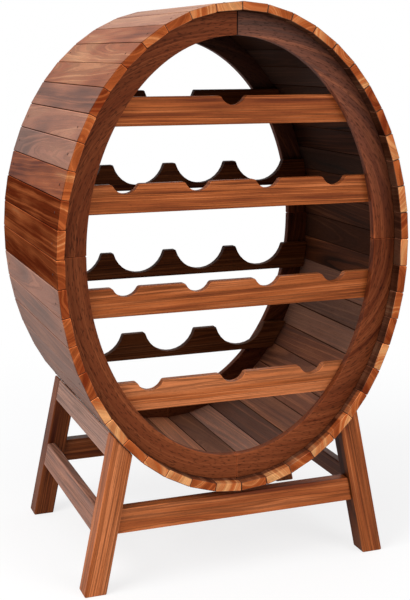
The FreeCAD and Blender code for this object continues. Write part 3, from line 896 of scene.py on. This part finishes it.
def trapeze(reach, heights):
    """Corners of a bar whose ends lean alike: half its length and its height, low and high."""
    return np.array([(-reach[0], heights[0]), (reach[0], heights[0]), (reach[1], heights[1]),
                     (-reach[1], heights[1])])


# Painted shade of the back rails, as the share of light left, and the tones of the four racks.
BACK_RAIL_PAINTED_SHADE = 0.24
RAIL_TONES = {"top": 0.3, "upper": 0.35, "lower": 0.5, "bottom": 0.95}


class RACK_OT_rails(RackOperator):
    """Builds the notched front rails and the scooped back rails of the racks"""

    bl_idname = "wine_rack.rails"
    bl_label = "Rack rails"
    seed = 37

    def execute(self, context):
        barrel = context.scene.rack_barrel
        sizes = context.scene.rack_rails
        draws = self.draws()
        half_width = barrel.half_width - barrel.thickness
        half_height = barrel.half_height - barrel.thickness
        scoop = math.sqrt(sizes.body_depth * (2 * sizes.body_radius - sizes.body_depth))
        peaks = {"top": None, "upper": sizes.middle_peak, "lower": sizes.middle_peak,
                 "bottom": sizes.bottom_peak}
        kinds = {
            "front": (sizes.neck_radius, sizes.neck_depth, sizes.neck_shoulder,
                      "acacia_rail_oiled", 1.0),
            "back": (sizes.body_radius, sizes.body_depth, sizes.body_shoulder,
                     "acacia_back_rail_painted_shade", BACK_RAIL_PAINTED_SHADE),
        }
        for rack, peak in peaks.items():
            for end, (*shape, material, stain_and_painted_light) in kinds.items():
                node = f"{rack}_rack_{end}_rail"
                low, high = box_of(node)
                heights = np.array([low[2], high[2]])
                reach = half_width * np.sqrt(1 - ((heights - MIDDLE) / half_height) ** 2)
                reach -= sizes.end_gap
                count, pitch = 1, 0.0
                if peak is not None:
                    pitch = 2 * scoop + peak
                    count = math.floor(2 * reach[1] / pitch)
                places = (np.arange(count)[::-1] - (count - 1) / 2) * pitch
                notches = notch(*shape)[None] + np.stack(
                    [places, np.full(count, high[2])], axis=1)[:, None]
                corners = trapeze(reach, heights)
                points = np.vstack([corners[:3], notches.reshape(-1, 2), corners[3:]])
                radii = np.zeros(len(points))
                radii[[0, 1, 2, -1]] = LONG_EDGE * sizes.edge
                log = in_log(draws, "rail", (0.0, low[1], low[2]), (1, 0, 0), (0, 0, 1))
                piece = plank(node + "_dressed", soften(points, radii), (low[1], high[1]),
                              sizes.edge, log, {"tone": RAIL_TONES[rack], "stain_and_painted_light": stain_and_painted_light})
                finish(piece, material, "rail_wood", node)
        return {"FINISHED"}


# Length of a step along the top of a board that is cut to the staves, and how many times
# the place where a leaning face meets them is worked out anew.
TOP_STEP = 6 * MM
MEETING_ROUNDS = 20


def under_barrel(across, barrel):
    """Height of the barrel's underside at distances from the middle."""
    joints = oval(joint_turns(barrel), barrel)
    lower = joints[joints[:, 1] <= 0]
    order = np.argsort(lower[:, 0])
    return np.interp(across, lower[order, 0], lower[order, 1]) + MIDDLE


def meeting_height(reach, slope, barrel):
    """Height where a leaning face, reach - slope * height, comes up against the barrel."""
    height = MIDDLE - barrel.half_height
    for _ in range(MEETING_ROUNDS):
        height = under_barrel(reach - slope * height, barrel)
    return float(height)


def leaning(stand, side, thickness, heights, barrel=None):
    """Outline of a bar that leans with the legs; with a barrel it is cut to the staves."""
    slope = math.tan(stand.splay)
    faces = stand.foot_reach - np.array([0.0, thickness / math.cos(stand.splay)])
    bottom, top = heights
    if barrel is None:
        tops = np.stack([faces - slope * top, np.full(2, top)], axis=1)
    else:
        ends = [face - slope * meeting_height(face, slope, barrel) for face in faces]
        along = np.linspace(*ends, math.ceil(thickness / TOP_STEP) + 1)
        tops = np.stack([along, under_barrel(along, barrel)], axis=1)
    bottoms = np.stack([faces[::-1] - slope * bottom, np.full(2, bottom)], axis=1)
    points = np.vstack([bottoms, tops]) * (side, 1)
    radii = np.zeros(len(points))
    radii[[0, 1, 2, -1]] = LONG_EDGE * stand.edge
    return soften(points, radii)


SIDES = {"left": -1, "right": 1}
# Tone, painted light and shade, that of the side that faces the middle, and painted reflection haze
# of the stand's boards.
STAND_LOOKS = {
    "front_left_leg": (0.75, 0.94, 0.56, 0.0), "front_right_leg": (0.45, 0.9, 0.3, 0.0),
    "back_left_leg": (0.35, 0.52, 0.36, 0.0), "back_right_leg": (0.35, 0.4, 0.25, 0.0),
    "left_upper_rail": (0.7, 1.0, 0.6, 0.75), "right_upper_rail": (0.4, 0.5, 0.3, 0.2),
    "left_stretcher": (0.5, 0.9, 0.6, 0.5), "right_stretcher": (0.4, 0.5, 0.35, 0.2),
    "front_stretcher": (0.5, 0.95, 0.95, 0.0), "back_stretcher": (0.3, 0.5, 0.5, 0.0),
}


def stand_piece(node, outline, log, stand):
    """Builds one board of the stand between the ends of its node."""
    low, high = box_of(node)
    ends = (low[1], high[1])
    tone, stain_and_painted_light, inner, painted_reflection = STAND_LOOKS[node]
    slope = math.tan(stand.splay)
    middle = stand.foot_reach - stand.leg_width / 2 / math.cos(stand.splay)

    def looks(places):
        # The side that faces the middle takes its own painted shade behind the rims.
        inside = np.abs(places[:, 0]) + slope * places[:, 2] < middle
        behind_rim = np.interp(from_end(places, ends), (0.0, stand.edge), (0, 1))
        return {"tone": tone, "painted_reflection": painted_reflection,
                "stain_and_painted_light": stain_and_painted_light + behind_rim * np.where(inside, inner - stain_and_painted_light, 0)}

    piece = plank(node + "_dressed", outline, ends, stand.edge, log, looks)
    finish(piece, "acacia_stand_oiled", "stand_wood", node)


class RACK_OT_legs(RackOperator):
    """Builds the four splayed legs, cut to the staves that lie on them"""

    bl_idname = "wine_rack.legs"
    bl_label = "Legs"
    seed = 41

    def execute(self, context):
        stand = context.scene.rack_stand
        draws = self.draws()
        for end in ("front", "back"):
            for place, side in SIDES.items():
                node = f"{end}_{place}_leg"
                low, high = box_of(node)
                outline = leaning(stand, side, stand.leg_width, (low[2], high[2]),
                                  context.scene.rack_barrel)
                log = in_log(draws, "leg", ((low[0] + high[0]) / 2, low[1], high[2] / 2),
                             (-side * math.sin(stand.splay), 0, math.cos(stand.splay)),
                             (0, 1, 0))
                stand_piece(node, outline, log, stand)
        return {"FINISHED"}


class RACK_OT_stretchers(RackOperator):
    """Builds the side rails under the barrel and the four low stretchers"""

    bl_idname = "wine_rack.stretchers"
    bl_label = "Rails and stretchers of the stand"
    seed = 53

    def execute(self, context):
        stand = context.scene.rack_stand
        draws = self.draws()
        bars = []
        for place, side in SIDES.items():
            for kind, barrel in (("upper_rail", context.scene.rack_barrel), ("stretcher", None)):
                node = f"{place}_{kind}"
                low, high = box_of(node)
                bars.append((node, (0, 1, 0), leaning(stand, side, stand.side_thickness,
                                                      (low[2], high[2]), barrel)))
        inner = stand.foot_reach - stand.leg_width / math.cos(stand.splay)
        for end in ("front", "back"):
            node = f"{end}_stretcher"
            heights = np.array([corner[2] for corner in box_of(node)])
            corners = trapeze(inner - math.tan(stand.splay) * heights, heights)
            bars.append((node, (1, 0, 0), soften(corners, LONG_EDGE * stand.edge)))
        for node, along, outline in bars:
            low, high = box_of(node)
            log = in_log(draws, "stretcher", (low + high) / 2, along, (0, 0, 1))
            stand_piece(node, outline, log, stand)
        return {"FINISHED"}


# A nail head from its foot to its tip: radius and height over the stave, in millimetres. It
# is longer across the stave than along it, and up to NAIL_STRAY off its place.
NAIL_PROFILE = ((1.0, -0.6), (1.0, 0.02), (0.86, 0.12), (0.0, 0.15))
NAIL_STRETCH = (1.5, 0.75)
NAIL_SIDES = 12
NAIL_STRAY = 1.5


class RACK_OT_nails(RackOperator):
    """Builds the nail heads along both ends of the staves"""

    bl_idname = "wine_rack.nails"
    bl_label = "Nail heads"
    seed = 61

    def execute(self, context):
        sizes = context.scene.rack_barrel
        draws = self.draws()
        joints = oval(joint_turns(sizes), sizes)
        middles = (joints[:-1] + joints[1:]) / 2 + (0.0, MIDDLE)
        runs = joints[1:] - joints[:-1]
        runs /= np.linalg.norm(runs, axis=1, keepdims=True)
        outward = np.stack([-runs[:, 1], runs[:, 0]], axis=1)
        turn = np.arange(NAIL_SIDES) * 2 * np.pi / NAIL_SIDES
        reach, lift = np.array(NAIL_PROFILE).T[..., None] * MM
        count = len(middles)
        for end in ("front", "back"):
            low, high = box_of(f"{end}_nails")
            shift = draws.uniform(-NAIL_STRAY, NAIL_STRAY, (count, 2)) * MM
            run = reach * NAIL_STRETCH[0] * np.cos(turn) + shift[:, :1, None]
            places = np.empty((*run.shape, 3))
            for axis, part in ((0, 0), (2, 1)):
                middle, along, out = (rows[:, part, None, None]
                                      for rows in (middles, runs, outward))
                places[..., axis] = middle + along * run + out * lift
            places[..., 1] = ((low[1] + high[1]) / 2 + reach * NAIL_STRETCH[1] * np.sin(turn)
                              + shift[:, 1:, None])
            grid = np.arange(places[..., 0].size).reshape(places.shape[:3])
            beside = np.roll(grid, -1, axis=2)
            faces = np.stack([grid[:, :-1], beside[:, :-1], beside[:, 1:], grid[:, 1:]],
                             axis=-1).reshape(-1, 4)
            mesh = bpy.data.meshes.new(f"{end}_nail_heads")
            mesh.from_pydata(places.reshape(-1, 3).tolist(), [],
                             faces.tolist() + grid[:, 0, ::-1].tolist())
            mesh.update()
            piece = bpy.data.objects.new(f"{end}_nail_heads", mesh)
            context.scene.collection.objects.link(piece)
            merge = piece.modifiers.new("Close the tips", "WELD")
            merge.merge_threshold = 0.001 * MM
            finish(piece, "nail_steel_dulled", "nail_steel", f"{end}_nails")
        return {"FINISHED"}


CAMERA_PLACE = (-0.5903, -1.5982, 0.6951)
CAMERA_YAW = math.radians(-20.601)
CAMERA_DOWN = math.radians(3.924)
LENS_MM = 71.36
SHIFT_UP = -0.2742
FLOOR_HALF = 6.0
FLOOR_LIFT = 0.2
# Distances over which the floor fades out, and how much of it shows near the rack.
FLOOR_FADE = (0.35, 1.2)
FLOOR_SHOWN = 0.32
SOFT_LIGHT = 0.55
# The lamps: place, size and power. Both look at LAMP_TARGET.
LAMPS = {"window_left": ((-2.2, -0.9, 1.9), 1.8, 52.0),
         "front_fill": ((1.2, -2.6, 1.6), 1.6, 28.0)}
LAMP_TARGET = (0.0, 0.0, 0.4)


def make_floor():
    """A pale floor that keeps the soft shadow and fades to the white background."""
    material, tree = new_material("pale_floor")
    place = add(tree, "TexCoord", {}).outputs["Object"]
    distance = add(tree, "VectorMath", {0: place}, operation="LENGTH").outputs["Value"]
    near = add(tree, "MapRange", {
        "Value": distance, "From Min": FLOOR_FADE[0], "From Max": FLOOR_FADE[1],
        "To Min": FLOOR_SHOWN, "To Max": 0.0,
    }, interpolation_type="SMOOTHSTEP")
    paint = add(tree, "BsdfDiffuse", {"Color": linear("#F4F3F1")})
    lift = add(tree, "Emission", {"Color": WHITE, "Strength": FLOOR_LIFT})
    lifted = add(tree, "AddShader", {0: paint, 1: lift})
    glow = add(tree, "Emission", {"Color": WHITE, "Strength": 1.0})
    seen = add(tree, "MixShader", {0: near, 1: glow, 2: lifted})
    path = add(tree, "LightPath", {})
    shown = add(tree, "MixShader", {0: path.outputs["Is Camera Ray"], 1: paint, 2: seen})
    add(tree, "OutputMaterial", {"Surface": shown})

    corners = FLOOR_HALF * np.array([(-1, -1, 0), (1, -1, 0), (1, 1, 0), (-1, 1, 0)])
    mesh = bpy.data.meshes.new("floor")
    mesh.from_pydata(corners.tolist(), [], [(0, 1, 2, 3)])
    floor = bpy.data.objects.new("floor", mesh)
    floor.data.materials.append(material)
    bpy.context.scene.collection.objects.link(floor)


def make_world():
    """Soft even light, and a white background for camera, glossy and transmission rays."""
    world = bpy.data.worlds.new("studio")
    world.use_nodes = True
    tree = world.node_tree
    tree.nodes.clear()
    path = add(tree, "LightPath", {}).outputs
    seen = add(tree, "Math", {0: path["Is Camera Ray"], 1: path["Is Glossy Ray"]},
               operation="MAXIMUM")
    clear = add(tree, "Math", {0: seen, 1: path["Is Transmission Ray"]}, operation="MAXIMUM")
    soft = add(tree, "Background", {"Color": linear("#F7F9FF"), "Strength": SOFT_LIGHT})
    white = add(tree, "Background", {"Color": WHITE, "Strength": 1.0})
    mixed = add(tree, "MixShader", {0: clear, 1: soft, 2: white})
    add(tree, "OutputWorld", {"Surface": mixed})
    bpy.context.scene.world = world


def make_lamps():
    """Square soft lights that look at one point."""
    for name, (place, size, power) in LAMPS.items():
        lamp = bpy.data.lights.new(name, "AREA")
        lamp.size = size
        lamp.energy = power
        holder = bpy.data.objects.new(name, lamp)
        holder.location = place
        aim = Vector(LAMP_TARGET) - Vector(place)
        holder.rotation_euler = aim.to_track_quat("-Z", "Y").to_euler()
        bpy.context.scene.collection.objects.link(holder)


def make_camera():
    """The camera at the viewing angle of the photograph."""
    lens = bpy.data.cameras.new("camera")
    lens.lens = LENS_MM
    lens.shift_y = SHIFT_UP
    camera = bpy.data.objects.new("camera", lens)
    camera.matrix_world = (Matrix.Translation(CAMERA_PLACE) @ Matrix.Rotation(CAMERA_YAW, 4, "Z")
                           @ Matrix.Rotation(math.pi / 2 - CAMERA_DOWN, 4, "X"))
    bpy.context.scene.collection.objects.link(camera)
    bpy.context.scene.camera = camera


class RACK_OT_stage(RackOperator):
    """Sets the floor, the soft studio light and the camera"""

    bl_idname = "wine_rack.stage"
    bl_label = "Stage"

    def execute(self, context):
        context.scene.view_settings.view_transform = "Standard"
        for make in (make_floor, make_world, make_lamps, make_camera):
            make()
        return {"FINISHED"}


STEPS = (RACK_OT_woods, RACK_OT_staves, RACK_OT_rings, RACK_OT_rails, RACK_OT_legs,
         RACK_OT_stretchers, RACK_OT_nails, RACK_OT_stage)
GROUPS = {"rack_barrel": BarrelSizes, "rack_rails": RackSizes, "rack_stand": StandSizes,
          "rack_colours": WoodColours}


class RACK_PT_panel(bpy.types.Panel):
    """Lists the sizes, the colours and the builders"""

    bl_idname = "RACK_PT_panel"
    bl_label = "Barrel wine rack"
    bl_space_type = "VIEW_3D"
    bl_region_type = "UI"
    bl_category = "Wine Rack"

    def draw(self, context):
        for name, group in GROUPS.items():
            column = self.layout.column(align=True)
            for field in group.__annotations__:
                column.prop(getattr(context.scene, name), field)
        for step in STEPS:
            self.layout.operator(step.bl_idname)


def register():
    """Registers the classes and hangs the settings on the scene."""
    for item in (*GROUPS.values(), *STEPS, RACK_PT_panel):
        bpy.utils.register_class(item)
    for name, group in GROUPS.items():
        setattr(bpy.types.Scene, name, bpy.props.PointerProperty(type=group))


def unregister():
    """Takes the settings and the classes away again."""
    for name in GROUPS:
        delattr(bpy.types.Scene, name)
    for item in (RACK_PT_panel, *reversed(STEPS), *reversed(GROUPS.values())):
        bpy.utils.unregister_class(item)


def main():
    """Builds the rack step by step."""
    register()
    for step in STEPS:
        group, name = step.bl_idname.split(".")
        getattr(getattr(bpy.ops, group), name)()


if __name__ == "__main__":
    main()
